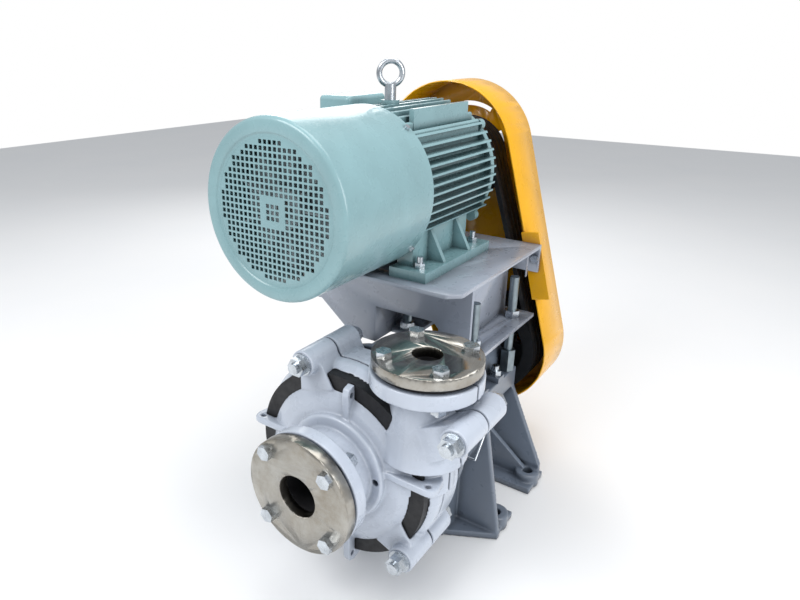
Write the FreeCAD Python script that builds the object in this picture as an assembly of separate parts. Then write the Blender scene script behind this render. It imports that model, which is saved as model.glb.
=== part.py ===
import FreeCAD, Part
import math
import os

# Lined end-suction slurry pump with a motor mounted above it and a V-belt drive.
# Millimetres. +Z is up, the suction flange faces -Y, the belt side faces +Y.
# The origin lies on the floor, under the shaft axis, midway between the foot bolts.

V = FreeCAD.Vector
AXIS_Y = V(0, 1, 0)
AXIS_Z = V(0, 0, 1)

# ---------------------------------------------------------------- driving dimensions
shaft_z = 254.0            # height of the pump shaft above the floor
seat_gap = 0.3             # clearance between pieces that seat on each other
spin_gap = 0.05            # radial clearance of a running fit

# wet end, along the shaft
suction_face_y = -510.0    # outer face of the suction disc
suction_disc_t = 20.0
suction_disc_r = 105.0
suction_bore_r = 38.0
suction_pcd = 178.0
suction_gasket_t = 6.0
casing_flange_t = 26.0
casing_flange_r = 104.0
suction_neck_r = 72.0
pad_ring_face_y = -409.0   # front face of the raised ring on the cover plate
pad_ring_r = 99.0
parting_y = -330.0         # where cover plate and frame plate meet
parting_gap = 3.0
casing_rear_y = -258.0
casing_r = 191.0
casing_wall = 12.0
casing_x = -14.0           # the casing is eccentric to the shaft
casing_z = 238.0
casing_bolt_d = 20.0
boss_r = 24.0
boss_front_y = -404.0
boss_rear_y = -262.0
boss_places = [(-72.0, 432.0), (222.0, 388.0), (137.0, 117.0), (-152.0, 104.0)]
lug_hole_y = -388.0
lug_hole_r = 5.0
lug_t = 13.0

# discharge branch
discharge_x = 128.5
discharge_y = -326.0
discharge_face_z = 481.0
discharge_disc_t = 19.0
discharge_disc_r = 92.0
discharge_bore_r = 25.5
discharge_pcd = 146.0
discharge_gasket_t = 7.0
discharge_flange_t = 27.0
discharge_flange_r = 95.0
discharge_neck_r = 57.0
discharge_liner_r = 46.0
flange_bolt_d = 16.0

# impeller chamber
chamber_front_y = -368.0
chamber_rear_y = -284.0
liner_t = 12.0
side_liner_r = 112.0
volute_inner_r = 160.0
impeller_r = 104.0
impeller_gap = 2.5
shroud_t = 9.0
eye_r = 38.0
vane_count = 5
vane_t = 9.0

# shaft and bearings
shaft_front_y = -352.0
shaft_rear_y = 302.0
shaft_wet_r = 19.0
sleeve_r = 30.0
sleeve_front_y = -290.0
sleeve_rear_y = -118.0
shaft_sleeve_seat_r = 24.0
shaft_mid_r = 30.0
bearing_seat_r = 25.0
shaft_tail_r = 21.0
housing_r = 60.0
housing_front_y = -74.0
housing_rear_y = 156.0
end_cover_t = 12.0
bearing_bore_r = 50.0
bearing_w = 28.0
box_bore_r = 44.0
box_r = 60.0
box_rear_y = -176.0
gland_t = 16.0

# base casting
foot_x = 178.0             # foot bolts, half of the 356 spacing
foot_y = 87.5              # foot bolts, half of the 175 spacing
foot_hole_r = 11.0
foot_boss_r = 27.0
foot_boss_h = 32.0
base_half_w = 204.0
base_front_y = -131.0
base_rear_y = 180.0
base_floor_t = 14.0
web_t = 13.0
rail_top_z = 235.0
rail_h = 48.0
rail_out_x = 92.0
rail_in_x = 61.0
barrel_r = 150.0
barrel_wall = 14.0
frame_flange_t = 18.0

# motor stand
stud_x = 78.0
stud_ys = (-45.0, 152.0)
stud_r = 10.0
stud_top_z = 465.0
stud_depth = 26.0          # thread length of the jack studs in the rails
clamp_ys = (6.0, 88.0)
clamp_bolt_d = 16.0
clamp_depth = 24.0
clamp_washer_t = 12.0
socket_h = 53.0
socket_af = 30.0
plate_top_z = 531.0
plate_t = 8.0
plate_right_x = 110.0
plate_left_x = -352.0
plate_front_y = -195.0
plate_rear_y = 207.0
shelf_top_z = 370.0
shelf_out_x = 113.0
stand_panel_x = 47.0
stand_left_x = -109.0
stand_front_y = -130.0
stand_leg_left_x = -165.0
tab_bolt_xs = (101.0, -228.0)
tab_bolt_z = 499.0

# motor
motor_x = -125.0
motor_h = 160.0            # foot to shaft axis
cowl_front_y = -409.0
cowl_rear_y = -149.0
cowl_r = 153.5
cowl_wall = 2.5
cowl_screw_deg = 50.0
grille_r = 118.0
grille_step_r = 126.0
grille_pitch = 18.0
grille_hole = 12.5
fin_tip_r = 149.0
fin_pitch = 17.0
fin_t = 4.0
barrel_out_r = 124.0
motor_bore_r = 108.0
motor_drive_y = 124.0
foot_pad_t = 20.0
foot_pad_in = 75.0         # inner edge of the foot pads from the motor axis
foot_pad_out = 155.0
foot_pad_front_y = -168.0
foot_pad_rear_y = 104.0
motor_bolt_x = 127.0
motor_bolt_ys = (-142.0, 78.0)
motor_shaft_r = 21.0
motor_shaft_end_y = 294.0

# belt drive
belt_centre_y = 252.0
belt_count = 4
belt_pitch = 19.0
belt_top_w = 16.0
belt_h = 12.0
pump_pulley_r = 115.0
motor_pulley_r = 95.0
pulley_w = 82.0

# belt guard
guard_front_y = 212.0
guard_rear_y = 342.0
guard_t = 3.0
guard_top_x = -150.0
guard_top_z = 705.0
guard_top_r = 165.0
guard_bottom_r = 146.0

motor_z = plate_top_z + motor_h
os.makedirs("parts", exist_ok=True)


# ---------------------------------------------------------------- shape helpers
def rod(radius, y0, y1, x=0.0, z=shaft_z):
    """Solid cylinder along Y."""
    return Part.makeCylinder(radius, y1 - y0, V(x, y0, z), AXIS_Y)


def post(radius, z0, z1, x, y):
    """Solid cylinder along Z."""
    return Part.makeCylinder(radius, z1 - z0, V(x, y, z0), AXIS_Z)


def block(x0, x1, y0, y1, z0, z1):
    return Part.makeBox(x1 - x0, y1 - y0, z1 - z0, V(x0, y0, z0))


def sleeve(inner, outer, y0, y1, x=0.0, z=shaft_z):
    return rod(outer, y0, y1, x, z).cut(rod(inner, y0 - 1, y1 + 1, x, z))


def face_of(points):
    return Part.Face(Part.makePolygon(points + [points[0]]))


def turned(profile, x=0.0, z=shaft_z):
    """Solid of revolution about the Y axis through (x, z); profile is (y, radius) points."""
    face = face_of([V(x + r, y, z) for y, r in profile])
    return face.revolve(V(x, 0, z), AXIS_Y, 360)


def slab_y(points, y0, y1):
    """Prism along Y from (x, z) points."""
    return face_of([V(x, y0, z) for x, z in points]).extrude(V(0, y1 - y0, 0))


def slab_x(points, x0, x1):
    """Prism along X from (y, z) points."""
    return face_of([V(x0, y, z) for y, z in points]).extrude(V(x1 - x0, 0, 0))


def slab_z(points, z0, z1):
    """Prism along Z from (x, y) points."""
    return face_of([V(x, y, z0) for x, y in points]).extrude(V(0, 0, z1 - z0))


def hex_points(af, x, y, turn=0.0):
    corner = af / math.sqrt(3)
    angles = [math.radians(turn + 60 * i) for i in range(6)]
    return [(x + corner * math.cos(a), y + corner * math.sin(a)) for a in angles]


def hex_y(af, y0, y1, x, z, turn=0.0):
    return slab_y(hex_points(af, x, z, turn), y0, y1)


def hex_z(af, z0, z1, x, y, turn=0.0):
    return slab_z(hex_points(af, x, y, turn), z0, z1)


def fuse(shapes):
    first, *rest = shapes
    return first.multiFuse(rest).removeSplitter() if rest else first


def cut(shape, tools):
    for tool in tools:
        shape = shape.cut(tool)
    return shape


def mirror_x(shape, x=0.0):
    return shape.mirror(V(x, 0, 0), V(1, 0, 0))


def group(shapes):
    return Part.Compound(shapes)


def polar(radius, degrees):
    a = math.radians(degrees)
    return radius * math.cos(a), radius * math.sin(a)


def export(name, shape):
    shape.exportStep(os.path.join("parts", name + ".step"))


def nut_y(d, y0, y1, x, z):
    return hex_y(1.5 * d, y0, y1, x, z).cut(rod(d / 2 + seat_gap, y0 - 1, y1 + 1, x, z))


def nut_z(d, z0, z1, x, y):
    return hex_z(1.5 * d, z0, z1, x, y).cut(post(d / 2 + seat_gap, z0 - 1, z1 + 1, x, y))


def washer_y(d, y0, y1, x, z):
    return sleeve(d / 2 + seat_gap, d, y0, y1, x, z)


# ---------------------------------------------------------------- derived stations
suction_disc_back_y = suction_face_y + suction_disc_t
casing_face_y = suction_disc_back_y + suction_gasket_t
casing_flange_back_y = casing_face_y + casing_flange_t
discharge_disc_z0 = discharge_face_z - discharge_disc_t
discharge_flange_z1 = discharge_disc_z0 - discharge_gasket_t
discharge_flange_z0 = discharge_flange_z1 - discharge_flange_t
liner_front_y = chamber_front_y - liner_t
liner_rear_y = chamber_rear_y + liner_t
casing_inner_r = casing_r - casing_wall
rail_bottom_z = rail_top_z - rail_h
flange_hole_r = flange_bolt_d / 2 + 1.5
suction_spots = [polar(suction_pcd / 2, 45 + 90 * i) for i in range(4)]
clamp_x = rail_in_x + 17
frame_stud_spots = [polar(barrel_r + 10, a) for a in (35, 145, 215, 325)]
discharge_spots = [polar(discharge_pcd / 2, 45 + 90 * i) for i in range(4)]


# ---------------------------------------------------------------- casing
def casing_outline():
    """Outside of both casing halves as one solid."""
    dome = turned([(pad_ring_face_y + 6, 0), (pad_ring_face_y + 12, 112), (-391, 135), (-377, 160),
                   (-361, 181), (-348, casing_r - 1), (-340, casing_r), (-282, casing_r),
                   (-266, casing_r - 12), (casing_rear_y, casing_r - 28), (casing_rear_y, 0)],
                  casing_x, casing_z)
    front = turned([(casing_face_y, 0), (casing_face_y, casing_flange_r),
                    (casing_flange_back_y, casing_flange_r),
                    (casing_flange_back_y, suction_neck_r), (pad_ring_face_y, suction_neck_r + 6),
                    (pad_ring_face_y, pad_ring_r - 3), (pad_ring_face_y + 3, pad_ring_r),
                    (parting_y - 40, pad_ring_r), (parting_y - 40, 0)])
    neck = post(discharge_neck_r, casing_z, discharge_flange_z0 + 1, discharge_x, discharge_y)
    flare = Part.makeCone(discharge_neck_r + 20, discharge_neck_r, 110,
                          V(discharge_x, discharge_y, casing_z + 60), AXIS_Z)
    flange = post(discharge_flange_r, discharge_flange_z0, discharge_flange_z1,
                  discharge_x, discharge_y)
    solids = [dome, front, neck, flare, flange] + casing_arms() + casing_lugs()
    for x, z in boss_places:
        solids.append(rod(boss_r, boss_front_y, boss_rear_y, x, z))
    behind = block(-400, 400, casing_rear_y, 0, 0, discharge_flange_z0 - 20)
    return fuse(solids).cut(behind)


def casing_arms():
    """Webs that carry the four bolt bosses."""
    arms = []
    front, rear = boss_front_y + 18, boss_rear_y - 2
    for x, z in boss_places:
        dx, dz = x - casing_x, z - casing_z
        length = math.hypot(dx, dz)
        ux, uz = dx / length, dz / length
        root = casing_r - 45
        half_root, half_tip = boss_r * 1.6, boss_r * 0.96
        points = []
        for reach, half in ((root, half_root), (length, half_tip)):
            cx, cz = casing_x + ux * reach, casing_z + uz * reach
            points.append((cx - uz * half, cz + ux * half))
            points.append((cx + uz * half, cz - ux * half))
        a, b, c, d = points
        arms.append(slab_y([a, b, d, c], front, rear))
    return arms


def casing_lugs():
    """Four thin lifting lugs that stand on the dome, each with a hole."""
    lugs = []
    places = [(17.0, 396.0, 0, 1), (19.0, 60.0, 0, -1), (175.5, 274.0, 1, 0), (-187.5, 274.0, -1, 0)]
    for x, z, ux, uz in places:
        reach = (x - casing_x) * ux + (z - casing_z) * uz
        outline = [(pad_ring_face_y + 10, 112), (lug_hole_y - 13, reach + 2), (lug_hole_y - 9, reach + 13),
                   (lug_hole_y + 4, reach + 17), (lug_hole_y + 30, reach + 12),
                   (lug_hole_y + 52, casing_r - 6), (lug_hole_y + 52, 112)]
        if uz:
            points = [(y, casing_z + uz * s) for y, s in outline]
            fin = slab_x(points, x - lug_t / 2, x + lug_t / 2)
            hole = Part.makeCylinder(lug_hole_r, lug_t + 2, V(x - lug_t / 2 - 1, lug_hole_y, z), V(1, 0, 0))
        else:
            face = face_of([V(casing_x + ux * s, y, z - lug_t / 2) for y, s in outline])
            fin = face.extrude(V(0, 0, lug_t))
            hole = post(lug_hole_r, z - lug_t / 2 - 1, z + lug_t / 2 + 1, x, lug_hole_y)
        lugs.append(fin.cut(hole))
    return lugs


def casing_cavity():
    chamber = rod(casing_inner_r, liner_front_y - seat_gap, liner_rear_y + seat_gap, casing_x, casing_z)
    suction = rod(suction_bore_r + 8 + seat_gap, casing_face_y - 1, liner_front_y)
    rear_mouth = rod(box_r + 32, liner_rear_y, casing_rear_y + 1)
    branch = post(discharge_liner_r + seat_gap, casing_z, discharge_flange_z1 + 1, discharge_x, discharge_y)
    tools = [chamber, suction, rear_mouth, branch]
    for x, z in boss_places:
        tools.append(rod(casing_bolt_d / 2 + 1, boss_front_y - 1, boss_rear_y + 1, x, z))
    for dx, dy in discharge_spots:
        tools.append(post(flange_hole_r, discharge_flange_z0 - 1, discharge_flange_z1 + 1,
                          discharge_x + dx, discharge_y + dy))
    for dx, dz in suction_spots:
        tools.append(rod(flange_hole_r, casing_face_y - 1, casing_flange_back_y + 1, dx, shaft_z + dz))
    drain_x, drain_z = polar(pad_ring_r - 13, 3)
    tools.append(rod(6, pad_ring_face_y - 1, pad_ring_face_y + 14, drain_x, shaft_z + drain_z))
    return tools


def make_casing():
    whole = cut(casing_outline(), casing_cavity())
    big = 600.0
    front_keep = block(-big, big, -big, parting_y - parting_gap / 2, -big, 2 * big)
    rear_keep = block(-big, big, parting_y + parting_gap / 2, big, -big, 2 * big)
    export("cover_plate", whole.common(front_keep))
    export("frame_plate", whole.common(rear_keep))


def make_liners():
    outer = rod(casing_inner_r - seat_gap, liner_front_y, liner_rear_y, casing_x, casing_z)
    rim = rod(casing_r - 3, parting_y - parting_gap / 2 + seat_gap, parting_y + parting_gap / 2 - seat_gap,
              casing_x, casing_z)
    branch = post(discharge_liner_r, casing_z, discharge_flange_z1, discharge_x, discharge_y)
    hollow = rod(volute_inner_r, chamber_front_y, chamber_rear_y, casing_x, casing_z)
    eyes = rod(side_liner_r + seat_gap, liner_front_y - 1, liner_rear_y + 1)
    bore = post(discharge_bore_r, casing_z, discharge_flange_z1 + 1, discharge_x, discharge_y)
    volute = cut(fuse([outer, rim, branch]), [hollow, eyes, bore])
    for x, z in boss_places:
        volute = volute.cut(rod(casing_bolt_d / 2 + 1, boss_front_y - 1, boss_rear_y + 1, x, z))
    export("volute_liner", volute)
    throat = turned([(casing_face_y, suction_bore_r), (casing_face_y, suction_bore_r + 8),
                     (liner_front_y, suction_bore_r + 8), (liner_front_y, side_liner_r),
                     (chamber_front_y, side_liner_r), (chamber_front_y, suction_bore_r)])
    export("throatbush", throat)
    insert = turned([(chamber_rear_y, box_bore_r), (chamber_rear_y, side_liner_r),
                     (liner_rear_y, side_liner_r), (liner_rear_y, box_bore_r)])
    export("frame_liner_insert", insert)


def make_flange_discs():
    disc = sleeve(suction_bore_r, suction_disc_r, suction_face_y, suction_disc_back_y)
    gasket = sleeve(suction_bore_r, suction_disc_r - 7, suction_disc_back_y, casing_face_y)
    for dx, dz in suction_spots:
        hole = rod(flange_hole_r, suction_face_y - 1, casing_face_y + 1, dx, shaft_z + dz)
        disc = disc.cut(hole)
        gasket = gasket.cut(hole)
    export("suction_disc", disc)
    export("suction_gasket", gasket)
    plate = post(discharge_disc_r, discharge_disc_z0, discharge_face_z, discharge_x, discharge_y)
    seal = post(discharge_disc_r - 7, discharge_flange_z1, discharge_disc_z0, discharge_x, discharge_y)
    tools = [post(discharge_bore_r, discharge_flange_z1 - 1, discharge_face_z + 1, discharge_x, discharge_y)]
    for dx, dy in discharge_spots:
        tools.append(post(flange_hole_r, discharge_flange_z1 - 1, discharge_face_z + 1,
                          discharge_x + dx, discharge_y + dy))
    export("discharge_disc", cut(plate, tools))
    export("discharge_gasket", cut(seal, tools))


def make_flange_bolts():
    head = 0.65 * flange_bolt_d
    af = 1.5 * flange_bolt_d
    bolts = []
    for dx, dz in suction_spots:
        x, z = dx, shaft_z + dz
        bolts.append(hex_y(af, suction_face_y - head, suction_face_y, x, z, 15).fuse(
            rod(flange_bolt_d / 2, suction_face_y - 1, casing_flange_back_y + 18, x, z)).removeSplitter())
        bolts.append(nut_y(flange_bolt_d, casing_flange_back_y, casing_flange_back_y + 13, x, z))
    export("suction_bolts", group(bolts))
    bolts = []
    for dx, dy in discharge_spots:
        x, y = discharge_x + dx, discharge_y + dy
        bolts.append(hex_z(af, discharge_face_z, discharge_face_z + head, x, y, 10).fuse(
            post(flange_bolt_d / 2, discharge_flange_z0 - 18, discharge_face_z + 1, x, y)).removeSplitter())
        bolts.append(nut_z(flange_bolt_d, discharge_flange_z0 - 13, discharge_flange_z0, x, y))
    export("discharge_bolts", group(bolts))


def make_casing_bolts():
    d = casing_bolt_d
    pieces = []
    for x, z in boss_places:
        pieces.append(rod(d / 2, boss_front_y - 26, boss_rear_y + 24, x, z))
        pieces.append(washer_y(d, boss_front_y - 3, boss_front_y, x, z))
        pieces.append(nut_y(d, boss_front_y - 19, boss_front_y - 3, x, z))
        pieces.append(nut_y(d, boss_rear_y, boss_rear_y + 16, x, z))
    export("casing_bolts", group(pieces))


# ---------------------------------------------------------------- impeller
def vane_face(y0):
    """Backward curved vane between the eye and the rim, as a closed band of two arcs."""
    start, end, sweep = eye_r + 4, impeller_r - 1, -70.0
    inner, outer = [], []
    steps = 6
    for i in range(steps + 1):
        t = i / steps
        radius = start + (end - start) * t
        half = math.degrees(vane_t * (1 - 0.45 * t) / 2 / radius)
        centre = sweep * t
        inner.append(polar(radius, centre - half))
        outer.append(polar(radius, centre + half))
    sides = []
    for side in (inner, outer[::-1]):
        curve = Part.BSplineCurve()
        curve.interpolate([V(x, y0, shaft_z + z) for x, z in side])
        sides.append(curve.toShape())
    caps = []
    for a, b in ((inner[-1], outer[-1]), (outer[0], inner[0])):
        caps.append(Part.LineSegment(V(a[0], y0, shaft_z + a[1]), V(b[0], y0, shaft_z + b[1])).toShape())
    wire = Part.Wire([sides[0], caps[0], sides[1], caps[1]])
    return Part.Face(wire)


def make_impeller():
    front_y = chamber_front_y + impeller_gap
    rear_y = chamber_rear_y - impeller_gap
    front_shroud = turned([(front_y, eye_r), (front_y, impeller_r), (front_y + shroud_t, impeller_r),
                           (front_y + shroud_t + 6, eye_r)])
    rear_shroud = turned([(rear_y, 0), (rear_y, impeller_r), (rear_y - shroud_t, impeller_r),
                          (rear_y - shroud_t - 4, 50), (rear_y - 34, 26), (rear_y - 38, 0)])
    vane = vane_face(front_y + 2).extrude(V(0, rear_y - front_y - 4, 0))
    parts = [front_shroud, rear_shroud]
    for i in range(vane_count):
        turned_vane = vane.copy()
        turned_vane.rotate(V(0, 0, shaft_z), AXIS_Y, 360.0 / vane_count * i)
        parts.append(turned_vane)
    impeller = fuse(parts)
    impeller = impeller.cut(rod(shaft_wet_r + seat_gap, rear_y - 24, rear_y + 1))
    export("impeller", impeller)
    return rear_y


# ---------------------------------------------------------------- shaft line
def make_shaft_line(impeller_rear_y):
    nose_y = impeller_rear_y - 24 + seat_gap
    front_bearing_y = housing_front_y + end_cover_t + 6
    rear_bearing_y = housing_rear_y - end_cover_t - 6 - bearing_w
    shaft = turned([(nose_y, 0), (nose_y, shaft_wet_r), (sleeve_front_y + 4, shaft_wet_r),
                    (sleeve_front_y + 4, shaft_sleeve_seat_r), (sleeve_rear_y, shaft_sleeve_seat_r),
                    (sleeve_rear_y, bearing_seat_r), (front_bearing_y + bearing_w, bearing_seat_r),
                    (front_bearing_y + bearing_w, shaft_mid_r), (rear_bearing_y, shaft_mid_r),
                    (rear_bearing_y, bearing_seat_r), (housing_rear_y + 8, bearing_seat_r),
                    (housing_rear_y + 8, shaft_tail_r), (shaft_rear_y, shaft_tail_r), (shaft_rear_y, 0)])
    export("pump_shaft", shaft)
    export("shaft_sleeve", sleeve(shaft_sleeve_seat_r + seat_gap, sleeve_r, impeller_rear_y + 1, sleeve_rear_y))
    slinger = turned([(sleeve_rear_y + 1, bearing_seat_r + seat_gap), (sleeve_rear_y + 1, 44),
                      (sleeve_rear_y + 7, 44), (sleeve_rear_y + 7, 34), (sleeve_rear_y + 22, 34),
                      (sleeve_rear_y + 22, bearing_seat_r + seat_gap)])
    export("shaft_slinger", slinger)
    outer_races, inner_races = [], []
    for y0 in (front_bearing_y, rear_bearing_y):
        outer_races.append(sleeve(bearing_bore_r - 7, bearing_bore_r - spin_gap, y0, y0 + bearing_w))
        inner_races.append(sleeve(bearing_seat_r + spin_gap, bearing_seat_r + 7, y0, y0 + bearing_w))
    export("bearing_outer_races", group(outer_races))
    export("bearing_inner_races", group(inner_races))
    rollers = []
    pitch = (bearing_bore_r - 7 + bearing_seat_r + 7) / 2
    roller_r = (bearing_bore_r - 7 - bearing_seat_r - 7) / 2 - spin_gap
    for y0 in (front_bearing_y, rear_bearing_y):
        for i in range(12):
            dx, dz = polar(pitch, 30 * i)
            rollers.append(rod(roller_r, y0 + 5, y0 + bearing_w - 5, dx, shaft_z + dz))
    export("bearing_rollers", group(rollers))
    return front_bearing_y, rear_bearing_y


def make_stuffing_box():
    box = turned([(liner_rear_y + seat_gap, box_bore_r), (liner_rear_y + seat_gap, box_r + 31),
                  (casing_rear_y, box_r + 31), (casing_rear_y, box_r),
                  (box_rear_y, box_r), (box_rear_y, box_bore_r)])
    lantern_y = casing_rear_y + 14
    flush = post(6, shaft_z + box_bore_r - 4, shaft_z + box_r + 4, 0, lantern_y + 8)
    export("stuffing_box", box.cut(flush))
    rings = []
    ring_w = 12.0
    start = lantern_y + 16 + seat_gap
    for i in range(3):
        y0 = start + i * (ring_w + seat_gap)
        rings.append(sleeve(sleeve_r + seat_gap, box_bore_r - seat_gap, y0, y0 + ring_w))
    export("gland_packing", group(rings))
    lantern = sleeve(sleeve_r + 1, box_bore_r - seat_gap, lantern_y, lantern_y + 16)
    waist = sleeve(box_bore_r - 4, box_bore_r, lantern_y + 5, lantern_y + 11)
    export("lantern_ring", lantern.cut(waist))
    pack_end = start + 3 * (ring_w + seat_gap)
    nose = sleeve(sleeve_r + 1, box_bore_r - seat_gap, pack_end, box_rear_y + 8)
    plate = slab_y([(-82, shaft_z - 20), (-82, shaft_z + 20), (-40, shaft_z + 52), (40, shaft_z + 52),
                    (82, shaft_z + 20), (82, shaft_z - 20), (40, shaft_z - 52), (-40, shaft_z - 52)],
                   box_rear_y + 6, box_rear_y + 6 + gland_t)
    gland = fuse([nose, plate.cut(rod(sleeve_r + 1, box_rear_y, box_rear_y + 40))])
    bolts = []
    for side in (-1, 1):
        x = side * 70.0
        gland = gland.cut(rod(7, box_rear_y, box_rear_y + 40, x))
        bolts.append(rod(6, casing_rear_y + seat_gap, box_rear_y + gland_t + 22, x))
        bolts.append(nut_y(12, box_rear_y + 6 + gland_t, box_rear_y + 16 + gland_t, x, shaft_z))
    export("gland", gland)
    export("gland_bolts", group(bolts))


def make_bearing_housing(front_bearing_y, rear_bearing_y):
    outer = rod(housing_r, housing_front_y, housing_rear_y)
    ribs = [sleeve(housing_r - 6, housing_r, housing_front_y + 70, housing_front_y + 76)]
    bore = rod(bearing_bore_r, housing_front_y - 1, housing_rear_y + 1)
    recess = sleeve(housing_r - 5, housing_r + 5, housing_front_y + 62, housing_rear_y - 78)
    housing = cut(outer, [bore, recess])
    export("bearing_housing", fuse([housing] + ribs))
    screws = []
    for name, y0, y1, lip0, lip1 in (
            ("front_end_cover", housing_front_y - end_cover_t, housing_front_y, housing_front_y,
             front_bearing_y - seat_gap),
            ("rear_end_cover", housing_rear_y, housing_rear_y + end_cover_t, rear_bearing_y + bearing_w + seat_gap,
             housing_rear_y)):
        cover = fuse([rod(housing_r, y0, y1), rod(bearing_bore_r - seat_gap, lip0, lip1)])
        cover = cover.cut(rod(bearing_seat_r + 1.5, y0 - 20, y1 + 20))
        for i in range(6):
            dx, dz = polar(housing_r - 6, 60 * i)
            cover = cover.cut(rod(3.3, y0 - 30, y1 + 30, dx, shaft_z + dz))
            outward = -1 if name.startswith("front") else 1
            face = y0 if outward < 0 else y1
            head0, head1 = sorted((face, face + outward * 5))
            screws.append(hex_y(10, head0, head1, dx, shaft_z + dz).fuse(
                rod(3, *sorted((face, face - outward * (end_cover_t - 1))), dx, shaft_z + dz)))
        export(name, cover)
    export("end_cover_screws", group(screws))


# ---------------------------------------------------------------- base casting
def make_base():
    outline = [(-base_half_w, 0), (-base_half_w + 4, 34), (-163, 240), (-120, 262), (120, 262),
               (163, 240), (base_half_w - 4, 34), (base_half_w, 0)]
    web = slab_y(outline, base_front_y, base_front_y + web_t)
    web = web.cut(slab_y([(-112, -1), (-86, 62), (86, 62), (112, -1)], base_front_y - 1, base_front_y + 20))
    pieces = [web]
    barrel_front_y = casing_rear_y + seat_gap
    pieces.append(rod(barrel_r, barrel_front_y, base_front_y))
    pieces.append(rod(barrel_r + 20, barrel_front_y, barrel_front_y + frame_flange_t))
    for side in (-1, 1):
        pieces.append(slab_z([(side * base_half_w, base_front_y + web_t), (side * base_half_w, base_front_y),
                              (side * 96, base_front_y - 60), (side * 70, base_front_y - 60),
                              (side * 70, base_front_y + web_t)], 0, base_floor_t))
        pieces.append(slab_x([(base_front_y - 58, 1), (base_front_y, 1), (base_front_y, shaft_z - 40),
                              (barrel_front_y + 30, shaft_z - barrel_r + 50)],
                             side * 104 - 6, side * 104 + 6))
        rail0, rail1 = sorted((side * rail_in_x, side * rail_out_x))
        pieces.append(block(rail0, rail1, base_front_y, base_rear_y, rail_bottom_z, rail_top_z))
        wall0, wall1 = sorted((side * rail_in_x, side * (rail_in_x + 12)))
        pieces.append(slab_x([(base_front_y + 4, 30), (foot_y + 12, 30), (base_rear_y - 4, rail_bottom_z + 1),
                              (base_front_y + 4, rail_bottom_z + 1)], wall0, wall1))
        foot0, foot1 = sorted((side * (rail_in_x + 6), side * (foot_x + foot_boss_r - 4)))
        for y in (-foot_y, foot_y):
            pieces.append(block(foot0, foot1, y - 44, y + 40, 0, base_floor_t))
            pieces.append(post(foot_boss_r, 0, foot_boss_h, side * foot_x, y))
            pieces.append(slab_y([(side * (rail_in_x + 6), 1), (side * foot_x, 1), (side * foot_x, 30),
                                  (side * (rail_in_x + 6), 120)], y - 6, y + 6))
    lean = [V(-base_half_w + 4, foot_y + 24, 2), V(base_half_w - 4, foot_y + 24, 2),
            V(base_half_w - 6, foot_y + 26, 44), V(rail_out_x, base_rear_y - 2, rail_bottom_z + 2),
            V(-rail_out_x, base_rear_y - 2, rail_bottom_z + 2), V(-base_half_w + 6, foot_y + 26, 44)]
    pieces.append(leaning_web(lean))
    for y0 in (housing_front_y + 8, housing_rear_y - 46):
        pieces.append(block(-rail_in_x - 2, rail_in_x + 2, y0, y0 + 34, shaft_z - housing_r - 18, shaft_z - 28))
    body = fuse(pieces)
    tools = [rod(barrel_r - barrel_wall, barrel_front_y - 1, base_front_y - 12),
             rod(86, base_front_y - 14, base_front_y + web_t + 1),
             rod(housing_r + seat_gap, base_front_y + web_t, base_rear_y + 60)]
    for side in (-1, 1):
        window0, window1 = sorted((side * 60, side * (barrel_r + 30)))
        tools.append(block(window0, window1, barrel_front_y + 30, base_front_y - 14, shaft_z - 62, shaft_z + 74))
        for y in (-foot_y, foot_y):
            tools.append(post(foot_hole_r, -1, foot_boss_h + 1, side * foot_x, y))
        for y in stud_ys:
            tools.append(post(stud_r + seat_gap, rail_top_z - stud_depth, rail_top_z + 1, side * stud_x, y))
        for y in clamp_ys:
            tools.append(post(clamp_bolt_d / 2 + seat_gap, rail_top_z - clamp_depth, rail_top_z + 1,
                              side * clamp_x, y))
    for dx, dz in frame_stud_spots:
        tools.append(rod(5.5, barrel_front_y - 1, barrel_front_y + frame_flange_t + 1, dx, shaft_z + dz))
    body = cut(body, tools)
    export("base", body)
    studs = []
    for dx, dz in frame_stud_spots:
        y0 = barrel_front_y + frame_flange_t
        studs.append(rod(5, barrel_front_y, y0 + 14, dx, shaft_z + dz))
        studs.append(nut_y(10, y0, y0 + 9, dx, shaft_z + dz))
    export("frame_studs", group(studs))


def leaning_web(edge):
    """Web of constant thickness between a low edge and a high edge further back."""
    shift = V(0, web_t, 0)
    low, mid, high = (edge[0], edge[1]), (edge[5], edge[2]), (edge[4], edge[3])
    solids = []
    for lower, upper in ((low, mid), (mid, high)):
        corners = [lower[0], lower[1], upper[1], upper[0]]
        faces = [face_of(corners), face_of([c - shift for c in corners])]
        for i in range(4):
            a, b = corners[i], corners[(i + 1) % 4]
            faces.append(face_of([a, b, b - shift, a - shift]))
        solids.append(Part.makeSolid(Part.makeShell(faces)))
    return fuse(solids)


def make_gland_guards():
    guards = []
    y0, y1 = casing_rear_y + 34, base_front_y - 18
    for side in (-1, 1):
        shell = sleeve(barrel_r + seat_gap, barrel_r + 2, y0, y1)
        keep0, keep1 = sorted((0.0, side * (barrel_r + 10)))
        shell = shell.common(block(keep0, keep1, y0 - 1, y1 + 1, shaft_z - 66, shaft_z + 78))
        guards.append(shell)
    export("gland_guards", group(guards))
    handles = []
    for side in (-1, 1):
        x0 = side * (barrel_r + 1.2)
        loop = [V(x0, -214, shaft_z - 22), V(x0 + side * 26, -214, shaft_z - 22),
                V(x0 + side * 26, -176, shaft_z + 20), V(x0, -176, shaft_z + 20)]
        handles.append(wire_rod(loop, 2.2))
    export("guard_handles", group(handles))


def wire_rod(points, radius):
    """Round wire along straight runs with ball corners."""
    pieces = []
    for a, b in zip(points, points[1:]):
        run = b - a
        pieces.append(Part.makeCylinder(radius, run.Length, a, run))
    for p in points[1:-1]:
        pieces.append(Part.makeSphere(radius, p))
    return fuse(pieces)


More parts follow.
